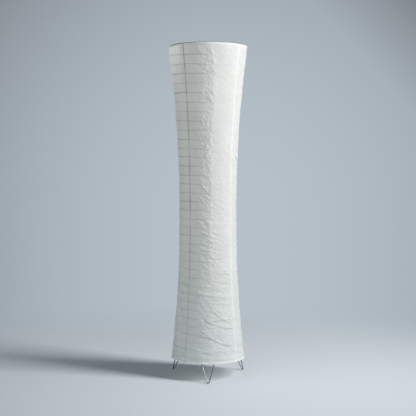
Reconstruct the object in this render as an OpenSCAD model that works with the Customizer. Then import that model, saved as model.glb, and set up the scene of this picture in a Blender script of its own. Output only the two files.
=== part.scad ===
// Paper lantern floor lamp: a waisted paper sleeve on a continuous spiral wire,
// stretched between two rings by four bent rods, on three hairpin feet.
// Millimetres. +Z is up, the front is -Y and the origin is on the floor under the lamp's axis.

/* [Sleeve] */
// Height of the lamp from the floor to the top of the upper ring
lamp_h = 1160; // [900:5:1300]
// Height of the sleeve's lower edge above the floor
sleeve_lift = 63; // [50:1:90]
// Outer radius of the sleeve at the height of the lamp's top
top_r = 137; // [125:0.5:150]
// Outer radius of the sleeve at its waist
waist_r = 98.5; // [85:0.5:110]
// Height of the waist above the floor
waist_z = 580; // [500:5:660]
// Thickness of the paper
paper_t = 0.6; // [0.4:0.05:1]
// How wide each strip of paper laps over the next one
lap_w = 7; // [4:0.5:12]
// How far the upper ring stands out above the paper
ring_proud = 1.5; // [0:0.25:3]

/* [Spiral wire] */
// Diameter of the spiral wire
spiral_wire = 1.6; // [1:0.1:2.5]
// Number of turns from the upper ring to the lower one
spiral_turns = 36.5; // [20:0.5:36.5]
// How much wider the first turn's pitch is than the mean, and the last one's narrower
pitch_spread = 3.3; // [0:0.1:6]

/* [Rings and rods] */
// Diameter of the wire that both rings are bent from
ring_wire = 4; // [3:0.25:6]
// Diameter of a rod
rod_d = 3.5; // [2.5:0.25:5]
// Direction of the first rod, counter-clockwise from +X
first_rod_turn = 51.5; // [40:0.5:60]
// Depth of the cup that a rod's end stands in
cup_depth = 10; // [6:0.5:16]
// Wall of a cup, and its closed end
cup_wall = 1; // [0.8:0.1:2]
// Radial play of a rod in its cup
rod_play = 0.15; // [0.05:0.05:0.3]

/* [Feet] */
// Diameter of the wire of a foot
foot_wire = 4; // [3:0.25:6]
// How far a foot's tip stands out past the middle of the bottom ring
foot_stand = 20; // [10:1:40]
// Distance between the two legs of a foot, where they meet the ring
foot_spread = 44; // [30:1:60]
// Radius of the bend at the tip, to the middle of the wire
foot_bend_r = 5; // [4:0.5:10]
// How far a leg runs on past the middle of the ring
foot_overrun = 3; // [1:0.5:5]

/* [Spokes and hub] */
// Diameter of the wire of a spoke
spoke_wire = 4; // [3:0.25:5]
// Radius of the hub plate
hub_r = 36; // [32:0.5:50]
// Thickness of the hub plate
hub_t = 2; // [1.5:0.25:4]
// How far a spoke runs in under the hub plate
spoke_hold = 7; // [4:0.5:8]

/* [Lamp holder] */
// Outer radius of the holder's threaded sleeve
sleeve_r = 19.75; // [19.5:0.05:21]
// Height of the threaded sleeve above the hub plate's underside
sleeve_h = 30; // [26:0.5:34]
// Wall of the threaded sleeve
sleeve_wall = 2.75; // [2:0.05:2.9]
// Radius of the shoulder under the hub plate
shoulder_r = 23; // [22:0.25:26]
// Thickness of the shoulder
shoulder_t = 4; // [3:0.25:6]
// Height of the cap under the shoulder
cap_h = 26; // [22:0.5:30]
// Wall of the cap
cap_wall = 2; // [1.5:0.1:3]
// Radius of the cap's flat bottom
cap_foot_r = 9; // [8:0.25:12]
// Radius of the clamping ring
clamp_r = 27; // [25:0.25:28]
// Height of the clamping ring
clamp_h = 8; // [5:0.5:12]
// Number of finger grooves in the clamping ring
clamp_grooves = 24; // [12:1:36]
// Thickness of the core's floor
core_floor = 10; // [8:0.5:12]
// Wall of the brass screw shell
shell_wall = 0.4; // [0.3:0.05:0.6]
// Thickness of the contact strips
contact_t = 0.5; // [0.3:0.1:0.8]
// Height of the centre contact's tongue above the core's floor
contact_rise = 4; // [3:0.25:6]
// Radius of the bore for the cord
cord_bore_r = 3.7; // [3:0.1:4]
// Length of the bore for the cord
cord_bore_l = 10; // [8:0.5:14]

/* [Bulb] */
// Radius of the bulb's screw cap over its thread
cap_thread_r = 13.05; // [12.9:0.05:13.2]
// Length of the bulb's screw cap
cap_thread_l = 20; // [18:0.5:22]
// Height of the insulator cone under the screw cap
insulator_h = 5; // [4:0.25:6]
// Height of the contact tip
tip_h = 1.6; // [1:0.1:2]
// Radius of the bulb's globe
globe_r = 30; // [27:0.5:34]
// Wall of the globe
globe_wall = 1.2; // [0.8:0.1:2]
// Overall height of the bulb
bulb_h = 108; // [104:1:118]
// Radius of the housing where it meets the globe
housing_r = 24; // [22:0.5:25]

/* [Clearances] */
// Gap between a soft piece, a wire and what lies against it
fit_gap = 0.3; // [0.2:0.05:0.5]
// Gap that stands for the weld between two wires
weld_gap = 0.2; // [0.1:0.05:0.3]
// Gap between the bulb, which turns, and the holder
turn_gap = 0.3; // [0.2:0.05:0.4]

/* [Hidden] */

gores = 4;
feet = 3;
front = -90;                       // direction of the front, counter-clockwise from +X
spiral_rings = 20;                 // rings of points in one turn of the spiral
spiral_sides = 6;                  // sides of the spiral wire
arc_fn = 1440;                     // facets of a full circle as large as the side's arc
round_fn = 144;                    // facets round the sleeve
wire_fn = 24;                      // facets round a wire
turned_fn = 72;                    // facets round a turned piece
eps = 0.01;                        // overlap that joins two shapes of one solid

paper = [0.94, 0.94, 0.91];
steel = [0.55, 0.56, 0.57];
brass = [0.78, 0.62, 0.32];
plastic = [0.90, 0.90, 0.87];
porcelain = [0.86, 0.84, 0.79];
opal = [0.97, 0.97, 0.95];

// ---- the side's long arc: depth is measured inwards from the paper's outer face ----
side_arc_r = (pow(lamp_h - waist_z, 2) + pow(top_r - waist_r, 2)) / (2 * (top_r - waist_r));
side_arc_x = waist_r + side_arc_r;

// radius, at a height, of what lies at a depth inside the sleeve's face
function inside_r(z, depth) = side_arc_x - sqrt(pow(side_arc_r + depth, 2) - pow(z - waist_z, 2));
// angle up the arc, at a height, for a depth
function arc_turn(z, depth) = asin((z - waist_z) / (side_arc_r + depth));

ring_depth = paper_t + fit_gap + ring_wire / 2;
spiral_depth = paper_t + fit_gap + spiral_wire / 2;
cup_r = rod_d / 2 + rod_play + cup_wall;
rod_depth = paper_t + fit_gap + spiral_wire + fit_gap + cup_r;
paper_top = lamp_h - ring_proud;
top_ring_z = lamp_h - ring_wire / 2;
bottom_ring_z = sleeve_lift + ring_wire / 2;
top_ring_r = inside_r(top_ring_z, ring_depth);
bottom_ring_r = inside_r(bottom_ring_z, ring_depth);
lap_turn = lap_w / waist_r * 180 / PI;
riser_turn = paper_t / waist_r * 180 / PI;
seam_turn = fit_gap / waist_r * 180 / PI;

// ---- rods and cups ----
// a cup's closed end lies flat against its ring, and the arc's slope lifts it a little there
top_cup_z = top_ring_z - ring_wire / 2 - weld_gap
    + (rod_depth - ring_depth) * sin(arc_turn(top_ring_z, rod_depth));
bottom_cup_z = bottom_ring_z + ring_wire / 2 + weld_gap
    + (rod_depth - ring_depth) * sin(arc_turn(bottom_ring_z, rod_depth));
rod_arc_r = side_arc_r + rod_depth;
rod_inset = (cup_wall + weld_gap) / rod_arc_r * 180 / PI;
rod_top_turn = arc_turn(top_cup_z, rod_depth) - rod_inset;
rod_bottom_turn = arc_turn(bottom_cup_z, rod_depth) + rod_inset;

// ---- spiral wire: a left-handed coil whose pitch narrows downwards ----
spiral_top_z = top_ring_z - ring_wire / 2 - fit_gap - spiral_wire / 2;
spiral_low_z = bottom_ring_z + ring_wire / 2 + fit_gap + spiral_wire / 2;
mean_pitch = (spiral_top_z - spiral_low_z) / spiral_turns;
spiral_start = first_rod_turn + 180;
spiral_count = round(spiral_turns * spiral_rings);
function spiral_z(turn) = spiral_top_z - mean_pitch * turn
    - pitch_spread * (turn - turn * turn / spiral_turns);
function spiral_ring(index) = let (
        turn = index / spiral_rings,
        z = spiral_z(turn),
        r = inside_r(z, spiral_depth),
        a = spiral_start + 360 * turn
    ) [for (side = [0 : spiral_sides - 1]) let (
        around = 360 * side / spiral_sides,
        out = r + spiral_wire / 2 * cos(around)
    ) [out * cos(a), out * sin(a), z + spiral_wire / 2 * sin(around)]];
function spiral_mid(index) = let (z = spiral_z(index / spiral_rings), r = inside_r(z, spiral_depth))
    [r * cos(spiral_start + 360 * index / spiral_rings),
     r * sin(spiral_start + 360 * index / spiral_rings), z];

// ---- feet: a leg passes inside the ring and a foot's tip stands on the floor ----
foot_tip_r = bottom_ring_r + foot_stand;
foot_ring_r = sqrt(pow(bottom_ring_r, 2) - pow(foot_spread / 2, 2));
foot_run = foot_tip_r - foot_ring_r;
foot_rise = bottom_ring_z - foot_wire / 2;
foot_reach = norm([foot_run, foot_rise]);
foot_pass = (ring_wire + foot_wire) / 2 + fit_gap;
foot_splay = atan2(foot_run, foot_rise) + asin(foot_pass / foot_reach);
foot_slope = sqrt(pow(foot_reach, 2) - pow(foot_pass, 2));
foot_half = norm([foot_spread / 2, foot_slope - foot_bend_r]);
leg_turn = atan2(foot_spread / 2, foot_slope - foot_bend_r) - asin(foot_bend_r / foot_half);
leg_start_z = foot_bend_r * (1 - sin(leg_turn));
leg_l = (foot_slope + foot_overrun - leg_start_z) / cos(leg_turn);
leg_sink = 0.2;                    // how far a leg runs into the bend
leg_slack = 0.02;                  // how much thinner a leg is, so that its end stays inside the bend

// ---- hub and lamp holder, from the bottom ring up ----
hub_z = bottom_ring_z + spoke_wire / 2 + weld_gap;
hub_top = hub_z + hub_t;
spoke_inner_r = hub_r - spoke_hold;
spoke_outer_r = bottom_ring_r - ring_wire / 2 - weld_gap;
shoulder_z = hub_z - shoulder_t;
sleeve_top = hub_z + sleeve_h;
sleeve_lip = 2;                    // thickness of the lip that keeps the core in
lip_clear = 1;                     // how far the lip stays back from the core's bore
core_seat = 3;                     // how far the core sinks into the cap
core_z = shoulder_z - core_seat;
core_r = sleeve_r - sleeve_wall - weld_gap;
core_top = sleeve_top - sleeve_lip - fit_gap;
core_floor_z = core_z + core_floor;
shell_in_r = cap_thread_r + turn_gap;
shell_out_r = shell_in_r + shell_wall;
core_bore_r = shell_out_r + weld_gap;
ledge = 2;                         // how far the cap's ledge reaches in under the core
cap_z = shoulder_z - cap_h;
bush_wall = 1.3;
bush_flange_t = 1.5;
bush_flange_w = 2;                 // how far the flange reaches past the cap's bore
cap_bore_r = cord_bore_r + bush_wall + weld_gap;
bush_z = cap_z - bush_flange_t;
terminal_r = 9;                    // distance of a terminal screw from the axis
terminal_head_r = 2.6;
terminal_head_h = 1.8;
terminal_shank_r = 1.4;
terminal_l = 8;

// ---- bulb, from its contact tip up ----
tip_z = core_floor_z + contact_rise + turn_gap;
tip_r = 5;
insulator_z = tip_z + tip_h;
insulator_top = insulator_z + insulator_h;
shell_cap_top = insulator_top + cap_thread_l;
cap_metal_t = 0.4;                 // sheet thickness of the bulb's screw cap
plug_r = cap_thread_r - cap_metal_t - turn_gap;
plug_h = 3;                        // how far the insulator and the housing reach into the cap
bulb_top = tip_z + bulb_h;
globe_z = bulb_top - globe_r;
housing_top = globe_z - sqrt(pow(globe_r, 2) - pow(housing_r, 2));
board_t = 1.6;
board_r = housing_r - globe_wall - 2;
chip = 2.8;                        // side of a light chip
chip_h = 0.7;
chips = 12;

// carries its children to a height on the sleeve's side, at a depth, with +Z up along the side
module on_side(z, depth) {
    translate([side_arc_x, 0, waist_z])
        rotate([0, arc_turn(z, depth), 0])
            translate([-side_arc_r - depth, 0, 0])
                children();
}

// flat band between two depths inside the side's arc, over the sleeve's height
module side_band(depth_out, depth_in) {
    intersection() {
        translate([side_arc_x, waist_z])
            difference() {
                circle(r = side_arc_r + depth_in, $fn = arc_fn);
                circle(r = side_arc_r + depth_out, $fn = arc_fn);
            }
        translate([0, sleeve_lift])
            square([side_arc_x, paper_top - sleeve_lift]);
    }
}

// one strip of paper: a quarter of the sleeve, a riser at its seam and the lap over the next strip
module paper_gore(index) {
    own = 360 / gores;
    from = first_rod_turn - lap_turn / 2;
    riser = from + own - riser_turn;
    lap_out = -fit_gap - paper_t;
    color(paper)
        rotate([0, 0, own * index]) {
            rotate_extrude(angle = own - seam_turn, start = from + seam_turn, $fn = round_fn)
                side_band(0, paper_t);
            rotate_extrude(angle = riser_turn, start = riser, $fn = round_fn)
                side_band(lap_out, paper_t);
            rotate_extrude(angle = lap_turn + riser_turn, start = riser, $fn = round_fn)
                side_band(lap_out, -fit_gap);
        }
}

// one unbroken wire from the upper ring to the lower one
module spiral_wire() {
    points = [for (index = [0 : spiral_count]) each spiral_ring(index)];
    last = spiral_count * spiral_sides;
    sides = [for (index = [0 : spiral_count - 1], side = [0 : spiral_sides - 1]) let (
            here = index * spiral_sides,
            next = (side + 1) % spiral_sides,
            a = here + side,
            b = here + next,
            c = a + spiral_sides,
            d = b + spiral_sides
        ) each [[a, b, c], [b, d, c]]];
    first_end = [for (side = [1 : spiral_sides - 2]) [0, side + 1, side]];
    last_end = [for (side = [1 : spiral_sides - 2]) [last, last + side, last + side + 1]];
    least = min([for (index = [0 : spiral_count - spiral_rings - 1], near = [-1 : 1])
        norm(spiral_mid(index + spiral_rings + near) - spiral_mid(index))]) - spiral_wire;
    echo(str("spiral_wire: least gap to itself ", least, " mm"));
    color(steel)
        polyhedron(points = points, faces = concat(sides, first_end, last_end), convexity = 40);
}

module wire_ring(r, z, wire) {
    color(steel)
        translate([0, 0, z])
            rotate_extrude($fn = round_fn)
                translate([r, 0])
                    circle(d = wire, $fn = wire_fn);
}

module top_ring() { wire_ring(top_ring_r, top_ring_z, ring_wire); }

module bottom_ring() { wire_ring(bottom_ring_r, bottom_ring_z, ring_wire); }

// a short tube, closed at its lower end, that opens upwards
module cup() {
    difference() {
        cylinder(h = cup_wall + cup_depth, r = cup_r, $fn = turned_fn);
        translate([0, 0, cup_wall])
            cylinder(h = cup_depth + 1, r = cup_r - cup_wall, $fn = turned_fn);
    }
}

module top_cups() {
    color(steel)
        for (index = [0 : gores - 1])
            rotate([0, 0, first_rod_turn + 360 / gores * index])
                on_side(top_cup_z, rod_depth)
                    mirror([0, 0, 1])
                        cup();
}

module bottom_cups() {
    color(steel)
        for (index = [0 : gores - 1])
            rotate([0, 0, first_rod_turn + 360 / gores * index])
                on_side(bottom_cup_z, rod_depth)
                    cup();
}

// a rod follows the sleeve's side, from the floor of one cup to the floor of the other
module rod(index) {
    color(steel)
        rotate([0, 0, first_rod_turn + 360 / gores * index])
            translate([side_arc_x, 0, waist_z])
                rotate([90, 0, 0])
                    rotate_extrude(angle = rod_top_turn - rod_bottom_turn,
                                   start = 180 - rod_top_turn, $fn = arc_fn)
                        translate([rod_arc_r, 0])
                            circle(d = rod_d, $fn = wire_fn);
}

// a hairpin: two legs and the bend at the tip that stands on the floor
module foot(index) {
    color(steel)
        rotate([0, 0, front + 360 / feet * index])
            translate([foot_tip_r, 0, foot_wire / 2])
                rotate([0, -foot_splay, 0]) {
                    translate([0, 0, foot_bend_r])
                        rotate([90, 0, 90])
                            rotate_extrude(angle = 180 - 2 * leg_turn, start = 180 + leg_turn,
                                           $fn = turned_fn)
                                translate([foot_bend_r, 0])
                                    circle(d = foot_wire, $fn = wire_fn);
                    for (side = [-1, 1])
                        translate([0, side * foot_bend_r * cos(leg_turn), leg_start_z])
                            rotate([-side * leg_turn, 0, 0])
                                translate([0, 0, -leg_sink])
                                    cylinder(h = leg_l + leg_sink, d = foot_wire - leg_slack,
                                             $fn = wire_fn);
                }
}

// a wire from under the hub plate to the inside of the bottom ring
module spoke(index) {
    color(steel)
        rotate([0, 0, front + 360 / feet * index])
            translate([spoke_inner_r, 0, bottom_ring_z])
                rotate([0, 90, 0])
                    cylinder(h = spoke_outer_r - spoke_inner_r, d = spoke_wire, $fn = wire_fn);
}

module hub_plate() {
    color(steel)
        translate([0, 0, hub_z])
            difference() {
                cylinder(h = hub_t, r = hub_r, $fn = turned_fn);
                translate([0, 0, -1])
                    cylinder(h = hub_t + 2, r = sleeve_r + fit_gap, $fn = turned_fn);
            }
}

// the lower cap: a rounded cup with a ledge for the core and a hole for the cord bush
module holder_cap() {
    straight_h = 8;                // height of the cap's straight upper part
    round_r = cap_h - straight_h;
    wide_z = cap_z + round_r;
    color(plastic)
        difference() {
            rotate_extrude($fn = turned_fn)
                difference() {
                    union() {
                        translate([0, wide_z])
                            square([shoulder_r, shoulder_z - wide_z]);
                        translate([0, cap_z])
                            square([shoulder_r - round_r, round_r + eps]);
                        translate([shoulder_r - round_r, wide_z])
                            intersection() {
                                circle(r = round_r, $fn = turned_fn);
                                translate([-eps, -round_r])
                                    square([round_r + eps, round_r + eps]);
                            }
                        translate([0, cap_z])
                            square([cap_foot_r, cap_wall]);
                    }
                    cap_inside(round_r, wide_z);
                }
            translate([0, 0, cap_z - 1])
                cylinder(h = cap_wall + 3, r = cap_bore_r, $fn = turned_fn);
        }
}

// the space inside the cap, under its ledge, and the seat of the core above it
module cap_inside(round_r, wide_z) {
    hollow_r = core_r - ledge;
    hollow_round = hollow_r - cap_foot_r + cap_wall;
    translate([0, core_z])
        square([core_r + weld_gap, core_seat + 1]);
    translate([0, wide_z])
        square([hollow_r, core_z - wide_z + eps]);
    translate([0, cap_z + cap_wall])
        square([hollow_r - hollow_round, wide_z - cap_z - cap_wall + eps]);
    translate([hollow_r - hollow_round, cap_z + cap_wall + hollow_round])
        circle(r = hollow_round, $fn = turned_fn);
    translate([0, cap_z + cap_wall + hollow_round])
        square([hollow_r, wide_z - cap_z - cap_wall - hollow_round + eps]);
}

// the threaded sleeve: a tube on a shoulder, with a lip inside its top that keeps the core in
module holder_body() {
    color(plastic)
        difference() {
            union() {
                translate([0, 0, shoulder_z])
                    cylinder(h = shoulder_t, r = shoulder_r, $fn = turned_fn);
                translate([0, 0, shoulder_z])
                    cylinder(h = shoulder_t + sleeve_h, r = sleeve_r, $fn = turned_fn);
            }
            translate([0, 0, shoulder_z - 1])
                cylinder(h = core_top + fit_gap - shoulder_z + 1, r = sleeve_r - sleeve_wall,
                         $fn = turned_fn);
            translate([0, 0, shoulder_z - 1])
                cylinder(h = shoulder_t + sleeve_h + 2, r = core_bore_r + lip_clear, $fn = turned_fn);
        }
}

// the clamping ring: it holds the hub plate down on the shoulder
module holder_ring() {
    bevel = 1.5;
    groove_r = 1;
    groove_out = 0.3;              // how far a groove's axis lies outside the ring
    color(plastic)
        difference() {
            translate([0, 0, hub_top])
                rotate_extrude($fn = turned_fn)
                    polygon([
                        [sleeve_r + fit_gap, 0], [clamp_r, 0], [clamp_r, clamp_h - bevel],
                        [clamp_r - bevel, clamp_h], [sleeve_r + fit_gap, clamp_h]
                    ]);
            for (index = [0 : clamp_grooves - 1])
                rotate([0, 0, 360 / clamp_grooves * index])
                    translate([clamp_r + groove_out, 0, hub_top - 1])
                        cylinder(h = clamp_h + 2, r = groove_r, $fn = wire_fn);
        }
}

// the insulating core: a deep cup that holds the brass shell and the contacts
module holder_core() {
    color(porcelain)
        difference() {
            translate([0, 0, core_z])
                cylinder(h = core_top - core_z, r = core_r, $fn = turned_fn);
            translate([0, 0, core_floor_z])
                cylinder(h = core_top - core_floor_z + 1, r = core_bore_r, $fn = turned_fn);
            for (side = [-1, 1])
                translate([side * terminal_r, 0, core_z - 1])
                    cylinder(h = terminal_l + fit_gap + 1, r = terminal_shank_r + weld_gap,
                             $fn = wire_fn);
        }
}

// the brass shell that the bulb screws into, on the side contact's foot
module screw_shell() {
    bottom = core_floor_z + contact_t + weld_gap;
    color(brass)
        translate([0, 0, bottom])
            difference() {
                cylinder(h = core_top - bottom, r = shell_out_r, $fn = turned_fn);
                translate([0, 0, -1])
                    cylinder(h = core_top - bottom + 2, r = shell_in_r, $fn = turned_fn);
            }
}

// a leaf spring: flat on the core's floor, then up to a tongue under the bulb's tip
module centre_contact() {
    leaf_w = 6;
    root = 8;                      // how far the leaf's flat end lies from the axis
    foot = 3.7;                    // where its flat part ends and its rise begins
    knee = 1.2;                    // where its rise ends, on the same side
    tongue = 4;                    // how far its tongue runs on past the axis
    bend = 0.3;                    // how far the upper face's bends lie behind the lower one's
    lift = contact_rise;
    color(brass)
        translate([0, leaf_w / 2, core_floor_z])
            rotate([90, 0, 0])
                linear_extrude(leaf_w)
                    polygon([
                        [root, 0], [root, contact_t], [foot + bend, contact_t],
                        [knee + bend, lift], [-tongue, lift], [-tongue, lift - contact_t],
                        [knee, lift - contact_t], [foot, 0]
                    ]);
}

// a short strip on the core's floor, under the rim of the brass shell
module side_contact() {
    strip_w = 6;
    strip_l = 4;
    color(brass)
        translate([-sqrt(pow(shell_out_r, 2) - pow(strip_w / 2, 2)), -strip_w / 2, core_floor_z])
            difference() {
                cube([strip_l, strip_w, contact_t]);
                translate([strip_l - 1, strip_w / 2, -1])
                    cylinder(h = contact_t + 2, r = 0.5, $fn = wire_fn);
            }
}

module terminal_screws() {
    slot_w = 0.8;
    slot_depth = 0.9;
    color(brass)
        for (side = [-1, 1])
            translate([side * terminal_r, 0, core_z])
                difference() {
                    union() {
                        cylinder(h = terminal_l, r = terminal_shank_r, $fn = wire_fn);
                        translate([0, 0, -terminal_head_h])
                            cylinder(h = terminal_head_h, r = terminal_head_r, $fn = turned_fn);
                    }
                    translate([-terminal_head_r - 1, -slot_w / 2, -terminal_head_h - 1])
                        cube([2 * terminal_head_r + 2, slot_w, slot_depth + 1]);
                }
}

// the lining of the cord's inlet, with a flange outside the cap
module cord_bush() {
    color(plastic)
        translate([0, 0, bush_z])
            difference() {
                union() {
                    cylinder(h = bush_flange_t, r = cap_bore_r + bush_flange_w, $fn = turned_fn);
                    cylinder(h = cord_bore_l, r = cap_bore_r - weld_gap, $fn = turned_fn);
                }
                translate([0, 0, -1])
                    cylinder(h = cord_bore_l + 2, r = cord_bore_r, $fn = turned_fn);
            }
}

module bulb_tip() {
    color(brass)
        translate([0, 0, tip_z])
            cylinder(h = tip_h, r1 = tip_r - 1, r2 = tip_r, $fn = turned_fn);
}

module bulb_insulator() {
    color([0.15, 0.15, 0.16])
        translate([0, 0, insulator_z])
            rotate_extrude($fn = turned_fn)
                polygon([
                    [0, 0], [tip_r + 0.5, 0], [plug_r - 1, insulator_h - turn_gap],
                    [plug_r, insulator_h - turn_gap], [plug_r, insulator_h + plug_h],
                    [0, insulator_h + plug_h]
                ]);
}

// the metal screw cap, a plain tube over its thread
module bulb_cap() {
    color(steel)
        translate([0, 0, insulator_top])
            difference() {
                cylinder(h = cap_thread_l, r = cap_thread_r, $fn = turned_fn);
                translate([0, 0, -1])
                    cylinder(h = cap_thread_l + 2, r = cap_thread_r - cap_metal_t, $fn = turned_fn);
            }
}

// the bulb's lower housing: a neck in the cap, then a flare up to the globe
module bulb_housing() {
    neck_r = cap_thread_r - cap_metal_t - weld_gap;
    flare_h = housing_top - shell_cap_top;
    flare_w = housing_r - cap_thread_r;
    flare_r = (flare_h * flare_h + flare_w * flare_w) / (2 * flare_w);
    color(plastic)
        rotate_extrude($fn = turned_fn) {
            translate([0, shell_cap_top - plug_h])
                square([neck_r, plug_h + eps]);
            difference() {
                translate([0, shell_cap_top])
                    square([housing_r, flare_h]);
                translate([cap_thread_r + flare_r, shell_cap_top])
                    circle(r = flare_r, $fn = arc_fn);
            }
        }
}

// the opal globe, a thin ball that sits on the housing's rim
module bulb_globe() {
    color(opal)
        rotate_extrude($fn = turned_fn)
            intersection() {
                translate([0, globe_z])
                    difference() {
                        circle(r = globe_r, $fn = arc_fn);
                        circle(r = globe_r - globe_wall, $fn = arc_fn);
                    }
                translate([0, housing_top])
                    square([globe_r + 1, bulb_top - housing_top + 1]);
            }
}

// the round board on the housing's top, with its ring of light chips
module led_board() {
    color(opal)
        translate([0, 0, housing_top]) {
            cylinder(h = board_t, r = board_r, $fn = turned_fn);
            for (index = [0 : chips - 1])
                rotate([0, 0, 360 / chips * index])
                    translate([board_r - 2 * chip, -chip / 2, board_t - eps])
                        cube([chip, chip, chip_h + eps]);
        }
}

paper_gore(0);  // paper_gore_1
paper_gore(1);  // paper_gore_2
paper_gore(2);  // paper_gore_3
paper_gore(3);  // paper_gore_4
spiral_wire();
top_ring();
bottom_ring();
top_cups();
bottom_cups();
rod(0);  // rod_1
rod(1);  // rod_2
rod(2);  // rod_3
rod(3);  // rod_4
foot(0);  // foot_1
foot(1);  // foot_2
foot(2);  // foot_3
spoke(0);  // spoke_1
spoke(1);  // spoke_2
spoke(2);  // spoke_3
hub_plate();
holder_cap();
holder_body();
holder_ring();
holder_core();
screw_shell();
centre_contact();
side_contact();
terminal_screws();
cord_bush();
bulb_tip();
bulb_insulator();
bulb_cap();
bulb_housing();
bulb_globe();
led_board();
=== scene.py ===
import math

import bpy
import numpy as np
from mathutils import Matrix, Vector, noise


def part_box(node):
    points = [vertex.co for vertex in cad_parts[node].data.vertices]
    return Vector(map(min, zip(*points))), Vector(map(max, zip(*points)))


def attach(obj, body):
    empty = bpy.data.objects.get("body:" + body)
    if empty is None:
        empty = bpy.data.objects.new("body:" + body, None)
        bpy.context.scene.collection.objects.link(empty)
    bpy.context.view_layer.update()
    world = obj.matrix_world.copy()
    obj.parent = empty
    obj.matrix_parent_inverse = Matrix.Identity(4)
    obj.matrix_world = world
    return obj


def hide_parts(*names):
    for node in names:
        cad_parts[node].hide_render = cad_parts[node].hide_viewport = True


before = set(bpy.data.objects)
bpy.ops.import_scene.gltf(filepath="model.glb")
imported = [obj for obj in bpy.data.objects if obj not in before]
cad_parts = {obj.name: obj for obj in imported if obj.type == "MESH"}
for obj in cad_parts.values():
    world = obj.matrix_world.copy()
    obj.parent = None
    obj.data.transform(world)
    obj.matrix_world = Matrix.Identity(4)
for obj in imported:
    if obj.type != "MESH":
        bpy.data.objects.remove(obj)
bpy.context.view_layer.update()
bpy.ops.object.select_all(action="DESELECT")

MM = 0.001

# ---- the sleeve's sizes, as the solids have them ----
LAMP_H = 1160 * MM
SLEEVE_LOW = 63 * MM
PAPER_TOP = 1158.5 * MM
WAIST_Z = 580 * MM
WAIST_R = 98.5 * MM
TOP_R = 137 * MM
SIDE_ARC_R = ((LAMP_H - WAIST_Z) ** 2 + (TOP_R - WAIST_R) ** 2) / (2 * (TOP_R - WAIST_R))
SIDE_ARC_X = WAIST_R + SIDE_ARC_R
GORES = 4
FIRST_SEAM = math.radians(51.5)
LAP_TURN = 7 * MM / WAIST_R
SEAM_TURN = 0.3 * MM / WAIST_R

SPIRAL_WIRE = 1.6 * MM
SPIRAL_DEPTH = 1.7 * MM
SPIRAL_TOP = 1154.9 * MM
SPIRAL_LOW = 68.1 * MM
SPIRAL_TURNS = 36.5
PITCH_SPREAD = 3.3 * MM
MEAN_PITCH = (SPIRAL_TOP - SPIRAL_LOW) / SPIRAL_TURNS
SPIRAL_START = FIRST_SEAM + math.pi
WOBBLE = 3.5 * MM
TURN_STEPS = 72

THREAD_PITCH = 3.629 * MM
THREAD_STEP = 0.42                  # height between a thread's rows of points, in millimetres


def inside_r(z, depth=0.0):
    """Radius, at a height, of what lies at a depth inside the sleeve's face."""
    return SIDE_ARC_X - np.sqrt((SIDE_ARC_R + depth) ** 2 - (z - WAIST_Z) ** 2)


def smooth(values):
    """An even step from 0 to 1."""
    values = np.clip(values, 0, 1)
    return values * values * (3 - 2 * values)


def flat_noise(x, y, seed):
    """Soft noise over a plane."""
    return np.array([noise.noise(Vector((a, b, seed))) for a, b in zip(x, y)])


def round_noise(angle, z, size, seed):
    """Soft noise over the sleeve, unbroken all the way round."""
    x, y = np.cos(angle) * WAIST_R / size, np.sin(angle) * WAIST_R / size
    return np.array([noise.noise(Vector((a, b, c + seed))) for a, b, c in zip(x, y, z / size)])


def wire_wobble(angle, z):
    """How far the hand-glued spiral wire strays from its even pitch."""
    ends = np.clip((z - SLEEVE_LOW) / (30 * MM), 0, 1) * np.clip((PAPER_TOP - z) / (30 * MM), 0, 1)
    return WOBBLE * round_noise(angle, z, 70 * MM, 5.5) * ends


def spiral_z(turn):
    """Height of the spiral wire after so many turns from its upper end."""
    return SPIRAL_TOP - MEAN_PITCH * turn - PITCH_SPREAD * (turn - turn * turn / SPIRAL_TURNS)


def turn_at(z):
    """Turns of the spiral wire from its upper end to a height: the inverse of spiral_z."""
    a = PITCH_SPREAD / SPIRAL_TURNS
    b = MEAN_PITCH + PITCH_SPREAD
    return (b - np.sqrt(b * b - 4 * a * (SPIRAL_TOP - z))) / (2 * a)


# ---- camera, as fitted to the photograph ----
SENSOR = 36
FOCAL_SHARE = 914 / 416             # focal length beside the picture's width
CAMERA_PLACE = (0.0, -3.233, 0.737)
CAMERA_DIP = math.radians(2.55)


def add_camera():
    data = bpy.data.cameras.new("camera")
    data.sensor_width = SENSOR
    data.lens = FOCAL_SHARE * SENSOR
    camera = bpy.data.objects.new("camera", data)
    bpy.context.scene.collection.objects.link(camera)
    camera.location = CAMERA_PLACE
    camera.rotation_euler = (math.pi / 2 - CAMERA_DIP, 0, 0)
    bpy.context.scene.camera = camera


# ---- pieces: helpers ----
def apply_modifiers(piece):
    bpy.ops.object.select_all(action="DESELECT")
    bpy.context.view_layer.objects.active = piece
    piece.select_set(True)
    for modifier in list(piece.modifiers):
        bpy.ops.object.modifier_apply(modifier=modifier.name)
    piece.select_set(False)


def dress(piece, material, body, node):
    """Gives a piece its material and its body, and hides the CAD node that it replaces."""
    piece.data.materials.clear()
    piece.data.materials.append(material)
    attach(piece, body)
    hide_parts(node)


# ---- materials: helpers ----
def new_material(name):
    material = bpy.data.materials.new(name)
    material.use_nodes = True
    tree = material.node_tree
    return material, tree, tree.nodes["Principled BSDF"]


def add_node(tree, kind, values=None, **settings):
    made = tree.nodes.new(kind)
    for key, value in settings.items():
        setattr(made, key, value)
    for key, value in (values or {}).items():
        made.inputs[key].default_value = value
    return made


def math_node(tree, operation, first, second=None, third=None):
    made = add_node(tree, "ShaderNodeMath", operation=operation)
    for socket, value in zip(made.inputs, (first, second, third)):
        if value is None:
            continue
        if isinstance(value, (int, float)):
            socket.default_value = value
        else:
            tree.links.new(value, socket)
    return made.outputs[0]


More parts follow.
